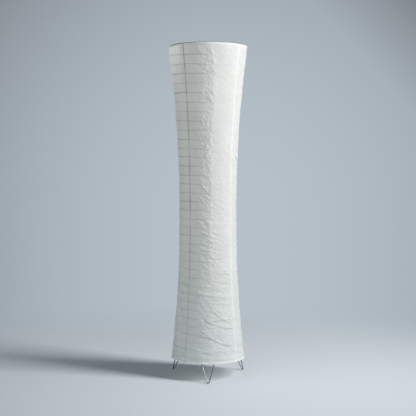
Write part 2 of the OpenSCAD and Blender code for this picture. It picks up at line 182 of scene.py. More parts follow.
def ramp(tree, value, stops):
    """A colour ramp through (position, colour or grey) stops."""
    made = add_node(tree, "ShaderNodeValToRGB")
    tree.links.new(value, made.inputs["Fac"])
    elements = made.color_ramp.elements
    while len(elements) < len(stops):
        elements.new(0.5)
    for element, (position, colour) in zip(elements, stops):
        element.position = position
        element.color = (colour,) * 3 + (1,) if isinstance(colour, (int, float)) else (*colour, 1)
    return made.outputs["Color"]


def noise_node(tree, vector, scale, detail=4.0, roughness=0.55, distortion=0.0):
    made = add_node(tree, "ShaderNodeTexNoise", {
        "Scale": scale, "Detail": detail, "Roughness": roughness, "Distortion": distortion,
    })
    tree.links.new(vector, made.inputs["Vector"])
    return made.outputs["Fac"]


def mix_colour(tree, factor, first, second, blend="MIX"):
    made = add_node(tree, "ShaderNodeMix", data_type="RGBA", blend_type=blend)
    for socket, value in ((made.inputs[0], factor), (made.inputs[6], first), (made.inputs[7], second)):
        if isinstance(value, (int, float)):
            socket.default_value = value
        elif isinstance(value, tuple):
            socket.default_value = (*value, 1)
        else:
            tree.links.new(value, socket)
    return made.outputs[2]


def object_coordinates(tree, scale=(1, 1, 1)):
    coordinates = add_node(tree, "ShaderNodeTexCoord")
    mapping = add_node(tree, "ShaderNodeMapping")
    mapping.inputs["Scale"].default_value = scale
    tree.links.new(coordinates.outputs["Object"], mapping.inputs["Vector"])
    return mapping.outputs["Vector"]


def bump(tree, height, distance, strength, normal=None):
    made = add_node(tree, "ShaderNodeBump", {"Strength": strength, "Distance": distance})
    tree.links.new(height, made.inputs["Height"])
    if normal is not None:
        tree.links.new(normal, made.inputs["Normal"])
    return made.outputs["Normal"]


def attribute(tree, name):
    """A value that the mesh keeps at each of its points."""
    return add_node(tree, "ShaderNodeAttribute", attribute_name=name).outputs["Fac"]


def separate(tree, vector):
    """A vector's three values."""
    made = add_node(tree, "ShaderNodeSeparateXYZ")
    tree.links.new(vector, made.inputs[0])
    return made.outputs


def combine(tree, *values):
    """A vector of up to three values."""
    made = add_node(tree, "ShaderNodeCombineXYZ")
    for value, socket in zip(values, made.inputs):
        tree.links.new(value, socket)
    return made.outputs[0]


def mix_shaders(tree, share, first, second, out):
    """Mixes two shaders into the surface of an output."""
    made = add_node(tree, "ShaderNodeMixShader")
    for value, socket in zip((share, first, second), made.inputs):
        tree.links.new(value, socket)
    tree.links.new(made.outputs[0], out.inputs["Surface"])


# ---- the lantern paper's material ----
THROUGH = 0.52                      # share of the light that plain paper lets through
GLOW_TINT = (1.0, 0.997, 0.96)
PALE_LOW = (0.892, 0.891, 0.881)
PALE_HIGH = (0.932, 0.929, 0.921)
FIBRE_TONE = (0.78, 0.76, 0.70)
# painted shade and glue stain: the brownish tone the lines take on the side away from the light
STAIN_AND_SHADE_TONE = (0.40, 0.375, 0.315)
# painted shade: the dark tone that a wire's line takes on the lit side
WIRE_SHADE_TONE = (0.30, 0.30, 0.29)
WIRE_DIM = 0.14                     # how much painted shade a wire under the paper puts on its lit side
WIRE_SHARE = 0.75                   # how much of a wire's line counts, beside a glued seam
DOUBLED = 0.2                       # share of the light that a second layer of paper holds back
# painted shade: the greyer, cooler tone of the paper towards the floor
LOW_SHADE_TONE = (0.955, 0.975, 0.985)
LOW_SHADE_SPAN = (0.05, 0.65)        # heights in metres between which that painted shade fades out
STROKE_MEAN = 0.6                   # what the creases' noise comes to on average
STROKE_STRENGTH = 0.85
STROKES = (
    # lean below the horizontal in degrees, length, spacing and height in millimetres
    (50, 30, 9, 1.00),
    (-38, 24, 8, 0.90),
    (80, 16, 6, 0.50),
    (12, 15, 7, 0.45),
)
RIPPLES = (
    # the same, for the long flat ripples of the lower part
    (10, 62, 19, 1.50),
    (-8, 44, 14, 1.15),
    (4, 36, 9, 0.60),
)


def strip_plane(tree):
    """Coordinates over a strip's face: metres across it, height, and a step from strip to strip."""
    height = separate(tree, object_coordinates(tree))[2]
    return combine(tree, attribute(tree, "across"), height, attribute(tree, "strip"))


def strokes(tree, plane, lean, length, width):
    """Sharp creases that lean below the horizontal, with a length and spacing in millimetres."""
    mapping = add_node(tree, "ShaderNodeMapping", vector_type="TEXTURE")
    mapping.inputs["Rotation"].default_value = (0, 0, -math.radians(lean))
    mapping.inputs["Scale"].default_value = (length * MM, width * MM, 1)
    mapping.inputs["Location"].default_value = (lean * 0.1, length * 0.01, width)
    tree.links.new(plane, mapping.inputs["Vector"])
    crease = add_node(tree, "ShaderNodeTexNoise", {
        "Scale": 1.0, "Detail": 1.8, "Roughness": 0.55, "Lacunarity": 2.0, "Offset": 0.9, "Gain": 1.6,
        "Distortion": 0.35,
    }, noise_type="RIDGED_MULTIFRACTAL", normalize=False)
    tree.links.new(mapping.outputs["Vector"], crease.inputs["Vector"])
    return crease.outputs["Fac"]


def paper_lines(tree, place, shade_mark):
    """The wires' lines, the painted shade and glue stain on the lines, and the share of light that the
    paper lets through.
    """
    # distance from the nearest wire, in pitches, then a thin mask along it
    away = math_node(tree, "PINGPONG", attribute(tree, "wire_turn"), 0.5)
    wire = ramp(tree, away, [(0.0, 1.0), (0.030, 0.95), (0.062, 0.0), (1.0, 0.0)])
    firm = noise_node(tree, object_coordinates(tree, (0.6, 0.6, 1.6)), 16, detail=2)
    wire = math_node(tree, "MULTIPLY", wire, ramp(tree, firm, [(0.40, 0.5), (0.56, 1.0)]))
    blotch = ramp(tree, noise_node(tree, place, 75, detail=2), [(0.35, 0.6), (0.65, 1.0)])
    glued = math_node(tree, "MULTIPLY", attribute(tree, "glue_line"), blotch)
    wired = math_node(tree, "MULTIPLY", wire, WIRE_SHARE)
    # painted shade and glue stain on the wires' and glue lines, weighted to the side away from the light
    stain_and_shade = math_node(tree, "MINIMUM", math_node(tree, "ADD", wired, glued), 1.0)
    stain_and_shade = math_node(tree, "MULTIPLY", stain_and_shade, shade_mark)
    # wires, glue and doubled paper let little light through, least of all on the side away from the light
    glued = math_node(tree, "MULTIPLY", glued, math_node(tree, "MULTIPLY_ADD", shade_mark, 0.45, 0.55))
    wired = math_node(tree, "MULTIPLY", wired, math_node(tree, "MULTIPLY_ADD", shade_mark, 0.65, 0.35))
    doubled = math_node(tree, "MULTIPLY", attribute(tree, "seam"), DOUBLED)
    dense = math_node(tree, "MAXIMUM", math_node(tree, "MAXIMUM", glued, wired), doubled)
    beside = ramp(tree, away, [(0.0, 1.0), (0.16, 0.0), (1.0, 0.0)])
    through = math_node(tree, "MULTIPLY_ADD", beside, -0.05, THROUGH)
    through = math_node(tree, "MULTIPLY", through, math_node(tree, "SUBTRACT", 1.0, dense))
    return wire, stain_and_shade, through


def paper_colour(tree, place, fibre, shade_mark, wire, stain_and_shade):
    """Clouded pale paper with fibres, painted shade and glue stain on its lines, and painted shade towards
    the floor.
    """
    base = ramp(tree, noise_node(tree, place, 14, detail=5), [(0.3, PALE_LOW), (0.7, PALE_HIGH)])
    base = mix_colour(tree, math_node(tree, "MULTIPLY", fibre, 0.05), base, FIBRE_TONE)
    # painted shade: the paper is a little greyer and cooler towards the floor, where the light falls
    # weaker
    low, high = LOW_SHADE_SPAN
    low_shade = ramp(tree, separate(tree, place)[2], [(low, LOW_SHADE_TONE), (high, (1, 1, 1))])
    base = mix_colour(tree, 1.0, base, low_shade, "MULTIPLY")
    # painted shade and glue stain on the lines
    base = mix_colour(tree, stain_and_shade, base, STAIN_AND_SHADE_TONE)
    # painted shade: a wire under the paper is painted darker on the lit side, since it keeps the light
    # from passing but does not add to the paper's own brightness
    wire_shade = math_node(tree, "MULTIPLY", wire, math_node(tree, "SUBTRACT", 1.0, shade_mark))
    return mix_colour(tree, math_node(tree, "MULTIPLY", wire_shade, WIRE_DIM), base, WIRE_SHADE_TONE)


def paper_relief(tree, place, fibre):
    """Fibres and flakes, then the creases where a strip is crinkled or rippled."""
    flake = noise_node(tree, place, 160, detail=6, roughness=0.7)
    normal = bump(tree, math_node(tree, "MULTIPLY_ADD", fibre, 0.35, flake), 0.0006, 0.6)
    patch = ramp(tree, noise_node(tree, place, 24, detail=1), [(0.40, 0.4), (0.56, 1.0)])
    crinkled = math_node(tree, "MULTIPLY", attribute(tree, "crinkled"), patch)
    rippled = attribute(tree, "rippled")
    plane = strip_plane(tree)
    for weight, creases in ((crinkled, STROKES), (rippled, RIPPLES)):
        for lean, length, width, height in creases:
            # without their mean, a change of their weight makes no slope of its own
            crease = math_node(tree, "SUBTRACT", strokes(tree, plane, lean, length, width), STROKE_MEAN)
            crease = math_node(tree, "MULTIPLY", crease, weight)
            normal = bump(tree, crease, height * MM, STROKE_STRENGTH, normal)
    return normal


def paper_material():
    material, tree, shader = new_material("lantern_paper")
    shader.inputs["Roughness"].default_value = 0.86
    shader.inputs["Specular IOR Level"].default_value = 0.25
    shader.inputs["Sheen Weight"].default_value = 0.06
    place = object_coordinates(tree)
    # how much painted shade and glue stain the lines take, most on the side away from the light
    shade_mark = attribute(tree, "glue_and_shade_mark")
    fibre = noise_node(tree, object_coordinates(tree, (1, 1, 0.35)), 420, detail=3, distortion=1.2)
    wire, stain_and_shade, through = paper_lines(tree, place, shade_mark)
    base = paper_colour(tree, place, fibre, shade_mark, wire, stain_and_shade)
    normal = paper_relief(tree, place, fibre)
    tree.links.new(base, shader.inputs["Base Color"])
    tree.links.new(normal, shader.inputs["Normal"])
    glow = add_node(tree, "ShaderNodeBsdfTranslucent")
    tree.links.new(mix_colour(tree, 1.0, base, GLOW_TINT, "MULTIPLY"), glow.inputs["Color"])
    tree.links.new(normal, glow.inputs["Normal"])
    mix_shaders(tree, through, shader.outputs[0], glow.outputs[0], tree.nodes["Material Output"])
    return material


# ---- the lantern paper's shape ----
PAPER_WALL = 0.3 * MM
SAG_HIGH = 0.28 * MM                # how far the paper sags between two wires, above and below the waist
SAG_LOW = 1.5 * MM
LOW_RISE = 340 * MM                 # height over which the lower part's look comes in, below the waist
LAP_OUT = 0.45 * MM
GLUE_LINE = 4.6 * MM
SHADED_SIDE = math.radians(200)     # the side away from the light, where the lines get painted shade and glue stain
TRIM = 2.2 * MM                     # the upper edge is cut a part of this lower there
LIP = 1.3 * MM                      # how far the paper stands out at its lower hem
LIP_UP = 1 * MM                     # how far above the hem it does so most
LIP_WIDTH = 2.6 * MM
HEM = 6 * MM
HEM_WEIGHT = 2.6                    # how dense a hem is, beside a lap
FREE_EDGE = 9 * MM                  # width over which folds come in from a seam

QUARTER = 2 * math.pi / GORES
RISER_TURN = 0.9 * MM / WAIST_R
LAP_COLUMNS = 8
STRIP_COLUMNS = 84
RISER_COLUMNS = 2
PAPER_ROWS = 486
SEED_STEP = 11.0                    # from one strip's noise to the next one's

CREASES = (
    # lean below the horizontal in degrees, length, width and height of a fold in millimetres
    (40, 50, 15, 1.30),
    (-40, 34, 13, 1.00),
    (58, 28, 10, 0.80),
)
LOW_CREASES = (
    # the same, for the folds of the lower part only
    (16, 55, 14, 1.40),
    (2, 40, 12, 0.80),
)
CALM_CRINKLE = 0.36                 # shares that the calm parts of a strip keep
CALM_RIPPLE = 0.2
CRINKLE_START = 27                  # degrees before a strip's middle where its crinkles begin
CRINKLE_STRAY = 14
RIPPLE_TOP = 880 * MM
RIPPLE_RISE = 610 * MM
FOLD_OUT = 1.3 * MM                 # height of the jagged fold down a strip's middle
FOLD_SIDE = 22                      # its half width in millimetres
FOLD_WAVES = (
    # how far it strays in millimetres, over which height, and a step in the seed
    (11, 80, 0),
    (8, 22, 4),
)
FOLD_ASIDE = 5                      # millimetres that its upper part runs aside
FOLD_ASIDE_FROM = 700               # height where that begins, and how far up it comes in
FOLD_ASIDE_RISE = 300
LONG_FOLD = 2.0 * MM
LONG_FOLDS = (
    # turn round the sleeve in degrees and height in millimetres, along each long fold
    ((254, 682), (271, 651)),
    ((271, 434), (289, 414)),
    ((248, 305), (264, 296)),
    ((274, 251), (294, 216), (308, 208)),
    ((263, 213), (286, 192), (320, 175)),
    ((255, 161), (278, 148), (292, 130), (316, 121)),
)


def paper_folds(creases, across, z, seed):
    """Height of the paper's folds in metres, over a strip's face in millimetres."""
    # the folds' lines wander a little
    drift_x = across + 9 * flat_noise(across / 55, z / 55, seed + 20.3)
    drift_z = z + 7 * flat_noise(across / 48, z / 48, seed + 31.7)
    total = np.zeros(len(z))
    for index, (lean, length, width, height) in enumerate(creases):
        c, s = math.cos(math.radians(lean)), math.sin(math.radians(lean))
        along, over = (drift_x * c - drift_z * s) / length, (drift_x * s + drift_z * c) / width
        field = flat_noise(along, over, seed + index * 7.1)
        total += height * (1 - np.minimum(1, np.abs(field) * 2.4)) ** 2
    # and in some patches they are lower
    patch = 0.55 + 0.9 * np.clip(flat_noise(across / 70, z / 70, seed + 3.9) + 0.35, 0, 1)
    return total * patch * MM


def own_fold(z, seed):
    """How far a strip's jagged middle fold strays from its middle, in millimetres."""
    level = np.linspace(0, LAMP_H / MM, 400)
    stray = FOLD_ASIDE * smooth((level - FOLD_ASIDE_FROM) / FOLD_ASIDE_RISE)
    for size, length, step in FOLD_WAVES:
        stray = stray + size * flat_noise(level / length, level * 0, seed + step)
    return np.interp(z, level, stray)


def long_folds(angle, z, taut):
    """Height of the long folds in metres: each has a crest, steeper above it, and a dip below."""
    turned = np.degrees(angle) % 360
    total = np.zeros(len(z))
    for line in LONG_FOLDS:
        turns, heights = zip(*line)
        above = z / MM - np.interp(turned, turns, heights)
        ends = smooth((turned - turns[0]) / 6) * smooth((turns[-1] - turned) / 6)
        crest = np.exp(-((above - 1.5) / np.where(above > 1.5, 3.0, 4.6)) ** 2)
        total += ends * (crest - 0.35 * taut * np.exp(-((above + 6.5) / 3.6) ** 2))
    return total * LONG_FOLD


def column_turns():
    """Turns from a strip's seam to its columns of points: over its face, its riser and its lap."""
    face_end = QUARTER - RISER_TURN
    return np.concatenate([
        np.linspace(SEAM_TURN, LAP_TURN, LAP_COLUMNS + 1)[:-1],
        np.linspace(LAP_TURN, face_end, STRIP_COLUMNS + 1)[:-1],
        np.linspace(face_end, QUARTER, RISER_COLUMNS + 1),
        np.linspace(QUARTER, QUARTER + LAP_TURN, LAP_COLUMNS + 1)[1:],
    ])


def strip_grid(name):
    """A flat grid for one strip, with each point's turn from the seam and its share of the height."""
    columns = LAP_COLUMNS + STRIP_COLUMNS + RISER_COLUMNS + LAP_COLUMNS
    bpy.ops.mesh.primitive_grid_add(x_subdivisions=columns, y_subdivisions=PAPER_ROWS, size=1)
    piece = bpy.context.object
    piece.name = piece.data.name = name
    points = np.empty(len(piece.data.vertices) * 3)
    piece.data.vertices.foreach_get("co", points)
    points = points.reshape(-1, 3) + 0.5
    return piece, column_turns()[np.rint(points[:, 0] * columns).astype(int)], points[:, 1]


class StripPoints:
    """Where each point of a strip lies: round the sleeve, up it, across the strip and between wires."""

    def __init__(self, index, turned, height_share):
        self.index = index
        self.seed = SEED_STEP * index
        self.turned = turned
        self.angle = FIRST_SEAM - LAP_TURN / 2 + QUARTER * index + turned
        cut = PAPER_TOP - TRIM * np.clip(np.cos(self.angle - SHADED_SIDE) - 0.35, 0, 1)
        self.z = SLEEVE_LOW + height_share * (cut - SLEEVE_LOW)
        self.radius = inside_r(self.z)
        self.across = (turned - QUARTER / 2) * self.radius / MM
        self.off_fold = self.across - own_fold(self.z / MM, self.seed + 8.5)
        # how far a point is in the sleeve's lower part, from 0 at the waist to 1
        self.low = smooth((WAIST_Z - self.z) / LOW_RISE)
        # wire_turn is a whole number where the wire runs under the paper, and taut is 0 there
        around = (self.angle - SPIRAL_START) / (2 * math.pi)
        wire_z = np.minimum(self.z + wire_wobble(self.angle, self.z), SPIRAL_TOP + 20 * MM)
        self.wire_turn = turn_at(wire_z) - around
        phase = np.abs(self.wire_turn - np.rint(self.wire_turn)) * 2
        self.taut = phase * (2 - phase)
        # the seams keep a strip's edges flat, and the rings hold its ends
        edge = np.minimum(turned - SEAM_TURN, QUARTER - RISER_TURN - turned) * self.radius
        self.free = smooth(edge / FREE_EDGE)
        above, below = self.z - SLEEVE_LOW, PAPER_TOP - self.z
        self.hold = np.clip(below / (22 * MM), 0, 1) * np.clip(above / (20 * MM), 0, 1)


def crinkle_shares(at):
    """How crinkled and how rippled a strip is at each point, from 0 to 1."""
    # degrees past the line where the crinkles begin, which strays too
    start = np.degrees(at.turned - QUARTER / 2) + CRINKLE_START
    start += CRINKLE_STRAY * flat_noise(at.across / 90, at.z / MM / 34, at.seed + 14.5)
    crinkled = smooth(start / 9) * (1 - smooth((at.off_fold - 1) / 9)) * (1 - 0.5 * at.low)
    rippled = smooth((RIPPLE_TOP - at.z) / RIPPLE_RISE) * smooth(start / 12)
    return CALM_CRINKLE + (1 - CALM_CRINKLE) * crinkled, np.maximum(rippled, CALM_RIPPLE)


def strip_folds(at, crinkled, rippled):
    """Height of all of a strip's folds, which fade out at its seams and at the rings."""
    folds = paper_folds(CREASES, at.across, at.z / MM, at.seed + 2.5) * crinkled
    folds += paper_folds(LOW_CREASES, at.across, at.z / MM, at.seed + 6.5) * rippled
    middle = FOLD_OUT * np.clip(1 - np.abs(at.off_fold) / FOLD_SIDE, 0, 1) * (1 - 0.85 * at.low)
    folds = folds * (0.4 + 0.6 * at.taut) + long_folds(at.angle, at.z, at.taut) + middle
    return folds * at.free * (0.3 + 0.7 * at.hold)


def strip_radius(at, folds):
    """Radius of a strip's outer face: sagging between wires, out at its lap and with a lip at the hem."""
    sag = SAG_HIGH + (SAG_LOW - SAG_HIGH) * at.low
    sag *= 1 + 0.8 * round_noise(at.angle, at.z, 120 * MM, 9.2)
    lap = np.clip((at.turned - (QUARTER - RISER_TURN)) / RISER_TURN, 0, 1)
    lip = LIP * np.exp(-((at.z - SLEEVE_LOW - LIP_UP) / LIP_WIDTH) ** 2)
    return at.radius - sag * at.taut * at.hold + folds + lap * LAP_OUT + lip


def strip_values(at, crinkled, rippled):
    """What the paper's material reads at each point of a strip."""
    from_lap = np.minimum(np.abs(at.turned - LAP_TURN / 2), np.abs(at.turned - QUARTER - LAP_TURN / 2))
    off_seam = from_lap * at.radius
    lapped = smooth((LAP_TURN / 2 * at.radius + 0.6 * MM - off_seam) / (1.2 * MM))
    hem = np.maximum(SLEEVE_LOW - at.z, at.z - PAPER_TOP) + HEM
    on_spiral = (at.z < SPIRAL_TOP - 1 * MM) & (at.z > SPIRAL_LOW + 1 * MM)
    # painted shade with some glue and dust: the lines are darkened most on the side away from the light
    shade_mark = np.clip((np.cos(at.angle - SHADED_SIDE) - 0.2) / 0.55, 0, 1) * (1 - 0.35 * at.low)
    shade_mark *= 0.85 + 0.2 * smooth((at.z - 880 * MM) / (120 * MM))
    shade_mark *= 1 + 0.8 * round_noise(at.angle, at.z, 60 * MM, 3.3)
    return {
        "wire_turn": np.where(on_spiral, at.wire_turn, 0.5),
        "seam": np.maximum(lapped, HEM_WEIGHT * smooth(hem / (2 * MM))),
        "glue_line": smooth((GLUE_LINE / 2 + 0.5 * MM - off_seam) / (1.2 * MM)),
        "glue_and_shade_mark": np.clip(shade_mark, 0, 1),
        "crinkled": crinkled * at.free,
        "rippled": rippled * at.free,
        "across": at.across * MM,
        "strip": np.full(len(at.z), 3.7 * at.index),
    }


def paper_strip(index, material):
    """One strip of paper: a quarter of the sleeve, a riser at its seam and the lap over the next strip."""
    piece, turned, height_share = strip_grid(f"paper_strip_{index + 1}")
    at = StripPoints(index, turned, height_share)
    crinkled, rippled = crinkle_shares(at)
    radius = strip_radius(at, strip_folds(at, crinkled, rippled))
    points = np.column_stack([radius * np.cos(at.angle), radius * np.sin(at.angle), at.z])
    piece.data.vertices.foreach_set("co", points.ravel())
    for name, values in strip_values(at, crinkled, rippled).items():
        made = piece.data.attributes.new(name, "FLOAT", "POINT")
        made.data.foreach_set("value", np.asarray(values, dtype=np.float32))
    wall = piece.modifiers.new("wall", "SOLIDIFY")
    wall.thickness = PAPER_WALL
    wall.offset = -1
    apply_modifiers(piece)
    piece.data.shade_smooth()
    dress(piece, material, "lamp", f"paper_gore_{index + 1}")
    return piece


def paper_sleeve():
    """The four strips, each cut from a flat sheet as wide as a quarter of the upper rim and a lap."""
    material = paper_material()
    for index in range(GORES):
        strip = paper_strip(index, material)


# ---- wires ----
def wire_from(name, points, diameter):
    """A round wire along points, as a mesh."""
    data = bpy.data.curves.new(name, "CURVE")
    data.dimensions = "3D"
    data.bevel_depth = diameter / 2
    data.bevel_resolution = 2
    data.use_fill_caps = True
    spline = data.splines.new("POLY")
    spline.points.add(len(points) - 1)
    spline.points.foreach_set("co", np.column_stack([points, np.ones(len(points))]).ravel())
    piece = bpy.data.objects.new(name, data)
    bpy.context.scene.collection.objects.link(piece)
    bpy.context.view_layer.objects.active = piece
    piece.select_set(True)
    bpy.ops.object.convert(target="MESH")
    piece.select_set(False)
    piece.data.shade_smooth()
    return piece


def spiral_wire():
    turn = np.linspace(0, SPIRAL_TURNS, int(SPIRAL_TURNS * TURN_STEPS) + 1)
    angle = SPIRAL_START + 2 * math.pi * turn
    z = spiral_z(turn)
    z = z - wire_wobble(angle, z)
    radius = inside_r(z, SPIRAL_DEPTH)
    points = np.column_stack([radius * np.cos(angle), radius * np.sin(angle), z])
    dress(wire_from("spiral", points, SPIRAL_WIRE), painted_wire(), "lamp", "spiral_wire")


# ---- shared effects ----
def new_group(name, inputs, outputs):
    """A shader node group with named inputs and outputs."""
    tree = bpy.data.node_groups.new(name, "ShaderNodeTree")
    for label, kind, value in inputs:
        socket = tree.interface.new_socket(label, in_out="INPUT", socket_type=kind)
        if value is not None:
            socket.default_value = value
    for label, kind in outputs:
        tree.interface.new_socket(label, in_out="OUTPUT", socket_type=kind)
    return tree, tree.nodes.new("NodeGroupInput"), tree.nodes.new("NodeGroupOutput")


def scaled_noise(tree, vector, scale, factor, detail, roughness=0.55):
    """Noise whose scale is a socket's value times a factor."""
    made = add_node(tree, "ShaderNodeTexNoise", {"Detail": detail, "Roughness": roughness})
    tree.links.new(vector, made.inputs["Vector"])
    tree.links.new(math_node(tree, "MULTIPLY", scale, factor), made.inputs["Scale"])
    return made.outputs["Fac"]


def surface_group():
    """Clouding, fine grain and a few darker specks, for any cast, moulded or drawn surface."""
    tree, given, out = new_group(
        "worked_surface",
        [("Vector", "NodeSocketVector", None), ("Scale", "NodeSocketFloat", 100.0),
         ("Colour", "NodeSocketColor", (0.8, 0.8, 0.8, 1)),
         ("Stain", "NodeSocketColor", (0.4, 0.4, 0.4, 1)),
         ("Staining", "NodeSocketFloat", 0.15), ("Smoothest", "NodeSocketFloat", 0.3),
         ("Roughest", "NodeSocketFloat", 0.5)],
        [("Colour", "NodeSocketColor"), ("Roughness", "NodeSocketFloat"), ("Height", "NodeSocketFloat")],
    )
    vector, scale = given.outputs["Vector"], given.outputs["Scale"]
    cloud = scaled_noise(tree, vector, scale, 0.12, 5)
    grain = scaled_noise(tree, vector, scale, 6.0, 3)
    speck = scaled_noise(tree, vector, scale, 1.3, 6, 0.75)
    stain = math_node(tree, "MULTIPLY", cloud, given.outputs["Staining"])
    spots = math_node(tree, "MULTIPLY", math_node(tree, "GREATER_THAN", speck, 0.66), 1.4)
    stain = math_node(tree, "MULTIPLY_ADD", spots, given.outputs["Staining"], stain)
    tree.links.new(mix_colour(tree, stain, given.outputs["Colour"], given.outputs["Stain"]),
                   out.inputs["Colour"])
    spread = math_node(tree, "SUBTRACT", given.outputs["Roughest"], given.outputs["Smoothest"])
    blend = math_node(tree, "MULTIPLY", math_node(tree, "ADD", cloud, grain), 0.5)
    tree.links.new(math_node(tree, "MULTIPLY_ADD", blend, spread, given.outputs["Smoothest"]),
                   out.inputs["Roughness"])
    tree.links.new(math_node(tree, "MULTIPLY_ADD", grain, 0.6, cloud), out.inputs["Height"])
    return tree


WORKED = surface_group()


def cylinder_coordinates(tree):
    """Distance from the lamp's axis and height, so that a pattern runs round a ring."""
    x, y, z = separate(tree, object_coordinates(tree))
    square = math_node(tree, "MULTIPLY", x, x)
    square = math_node(tree, "MULTIPLY_ADD", y, y, square)
    return combine(tree, math_node(tree, "SQRT", square), z)


def worked_material(name, colour, stain, staining, scale, smoothest, roughest, metal=0.0,
                    stretch=(1, 1, 1), round_axis=False, depth=0.00005, subsurface=0.0):
    """A material of the worked_surface group, its grain stretched or running round the lamp's axis."""
    material, tree, shader = new_material(name)
    group = add_node(tree, "ShaderNodeGroup", node_tree=WORKED)
    vector = cylinder_coordinates(tree) if round_axis else object_coordinates(tree, stretch)
    tree.links.new(vector, group.inputs["Vector"])
    group.inputs["Scale"].default_value = scale
    group.inputs["Colour"].default_value = (*colour, 1)
    group.inputs["Stain"].default_value = (*stain, 1)
    group.inputs["Staining"].default_value = staining
    group.inputs["Smoothest"].default_value = smoothest
    group.inputs["Roughest"].default_value = roughest
    shader.inputs["Metallic"].default_value = metal
    shader.inputs["Subsurface Weight"].default_value = subsurface
    tree.links.new(group.outputs["Colour"], shader.inputs["Base Color"])
    tree.links.new(group.outputs["Roughness"], shader.inputs["Roughness"])
    tree.links.new(bump(tree, group.outputs["Height"], depth, 0.5), shader.inputs["Normal"])
    return material


def painted_wire():
    return worked_material("painted_wire", (0.62, 0.62, 0.60), (0.36, 0.33, 0.28), 0.3, 260, 0.45, 0.65)


def zinc_wire(name, **how):
    return worked_material(name, (0.36, 0.365, 0.37), (0.05, 0.05, 0.055), 0.16, 320, 0.24, 0.34,
                           metal=1.0, depth=0.00001, **how)


UPRIGHT_NODES = (
    "rod_1", "rod_2", "rod_3", "rod_4", "foot_1", "foot_2", "foot_3", "top_cups", "bottom_cups",
)
LEVEL_NODES = ("spoke_1", "spoke_2", "spoke_3")


def finish_nodes(material, *names):
    """Gives CAD nodes, whose shapes are right, their finish."""
    for name in names:
        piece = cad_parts[name]
        for slot in piece.material_slots:
            slot.material = material


def chip_board():
    """White board with yellow light chips above its face."""
    material, tree, shader = new_material("chip_board")
    place = object_coordinates(tree)
    chip_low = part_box("led_board")[1].z - 0.65 * MM
    above = math_node(tree, "GREATER_THAN", separate(tree, place)[2], chip_low)
    grain = noise_node(tree, place, 900)
    white = mix_colour(tree, math_node(tree, "MULTIPLY", grain, 0.1), (0.9, 0.9, 0.88), (0.6, 0.6, 0.6))
    tree.links.new(mix_colour(tree, above, white, (0.85, 0.68, 0.16)), shader.inputs["Base Color"])
    shader.inputs["Roughness"].default_value = 0.35
    return material


def finish_frame():
    dark = worked_material("dark_ring", (0.15, 0.15, 0.155), (0.05, 0.05, 0.05), 0.4, 320, 0.3, 0.5,
                           metal=1.0, round_axis=True)
    finish_nodes(dark, "top_ring", "bottom_ring")
    finish_nodes(zinc_wire("zinc_wire", stretch=(1, 1, 0.06)), *UPRIGHT_NODES)
    finish_nodes(zinc_wire("zinc_wire_bent", round_axis=True), "hub_plate")
    finish_nodes(zinc_wire("zinc_wire_level"), *LEVEL_NODES)


def finish_holder():
    plastic = worked_material("holder_plastic", (0.86, 0.86, 0.83), (0.62, 0.60, 0.54), 0.2, 180,
                              0.42, 0.6, depth=0.00004)
    porcelain = worked_material("porcelain", (0.82, 0.80, 0.75), (0.55, 0.50, 0.42), 0.25, 240,
                                0.5, 0.75, depth=0.00008)
    brass = worked_material("brass", (0.78, 0.62, 0.32), (0.40, 0.28, 0.12), 0.35, 300, 0.18, 0.4,
                            metal=1.0)
    finish_nodes(plastic, "holder_cap", "holder_ring", "cord_bush")
    finish_nodes(porcelain, "holder_core")
    finish_nodes(brass, "centre_contact", "side_contact", "terminal_screws")
    return plastic, brass


def finish_bulb():
    solder = worked_material("solder", (0.70, 0.70, 0.70), (0.4, 0.4, 0.4), 0.3, 500, 0.3, 0.5, metal=1.0)
    glass = worked_material("black_glass", (0.05, 0.05, 0.055), (0.12, 0.11, 0.1), 0.4, 300, 0.08, 0.2)
    white = worked_material("bulb_plastic", (0.88, 0.88, 0.86), (0.70, 0.69, 0.64), 0.15, 140, 0.3, 0.42,
                            depth=0.00003)
    opal = worked_material("opal_globe", (0.93, 0.93, 0.91), (0.84, 0.84, 0.80), 0.12, 90, 0.28, 0.4,
                           depth=0.00002, subsurface=0.2)
    finish_nodes(solder, "bulb_tip")
    finish_nodes(glass, "bulb_insulator")
    finish_nodes(white, "bulb_housing")
    finish_nodes(opal, "bulb_globe")
    finish_nodes(chip_board(), "led_board")
    return worked_material("bulb_metal", (0.78, 0.78, 0.78), (0.5, 0.5, 0.48), 0.25, 400, 0.2, 0.35,
                           metal=1.0)


# ---- turned and threaded pieces ----
def lathe(name, profile, steps=96):
    """A closed profile of (radius, height) points in millimetres, spun round the lamp's axis."""
    bpy.ops.object.select_all(action="DESELECT")
    bpy.ops.mesh.primitive_circle_add(
        vertices=len(profile), radius=MM, fill_type="NOTHING", location=(0, 0, 0),
    )
    piece = bpy.context.object
    piece.name = piece.data.name = name
    for vertex, (radius, height) in zip(piece.data.vertices, profile):
        vertex.co = (radius * MM, 0, height * MM)
    bpy.ops.object.mode_set(mode="EDIT")
    bpy.ops.mesh.select_all(action="SELECT")
    bpy.ops.mesh.spin(steps=steps, angle=2 * math.pi, center=(0, 0, 0), axis=(0, 0, 1))
    bpy.ops.mesh.select_all(action="SELECT")
    bpy.ops.mesh.remove_doubles(threshold=0.00001)
    bpy.ops.mesh.normals_make_consistent(inside=False)
    bpy.ops.object.mode_set(mode="OBJECT")
    piece.select_set(False)
    return piece


def cut_thread(piece, low, high, least_r, depth, pitch, taper):
    """Rolls a right-handed thread into the faces outside a radius, between two heights in millimetres."""
    for vertex in piece.data.vertices:
        x, y, z = (v / MM for v in vertex.co)
        radius = math.hypot(x, y)
        if radius < least_r or not low < z < high:
            continue
        fade = min(1, (z - low) / taper, (high - z) / taper)
        wave = 0.5 + 0.5 * math.cos(2 * math.pi * (z / pitch - math.atan2(y, x) / (2 * math.pi)))
        scale = 1 - depth * fade * wave / radius
        vertex.co.x *= scale
        vertex.co.y *= scale


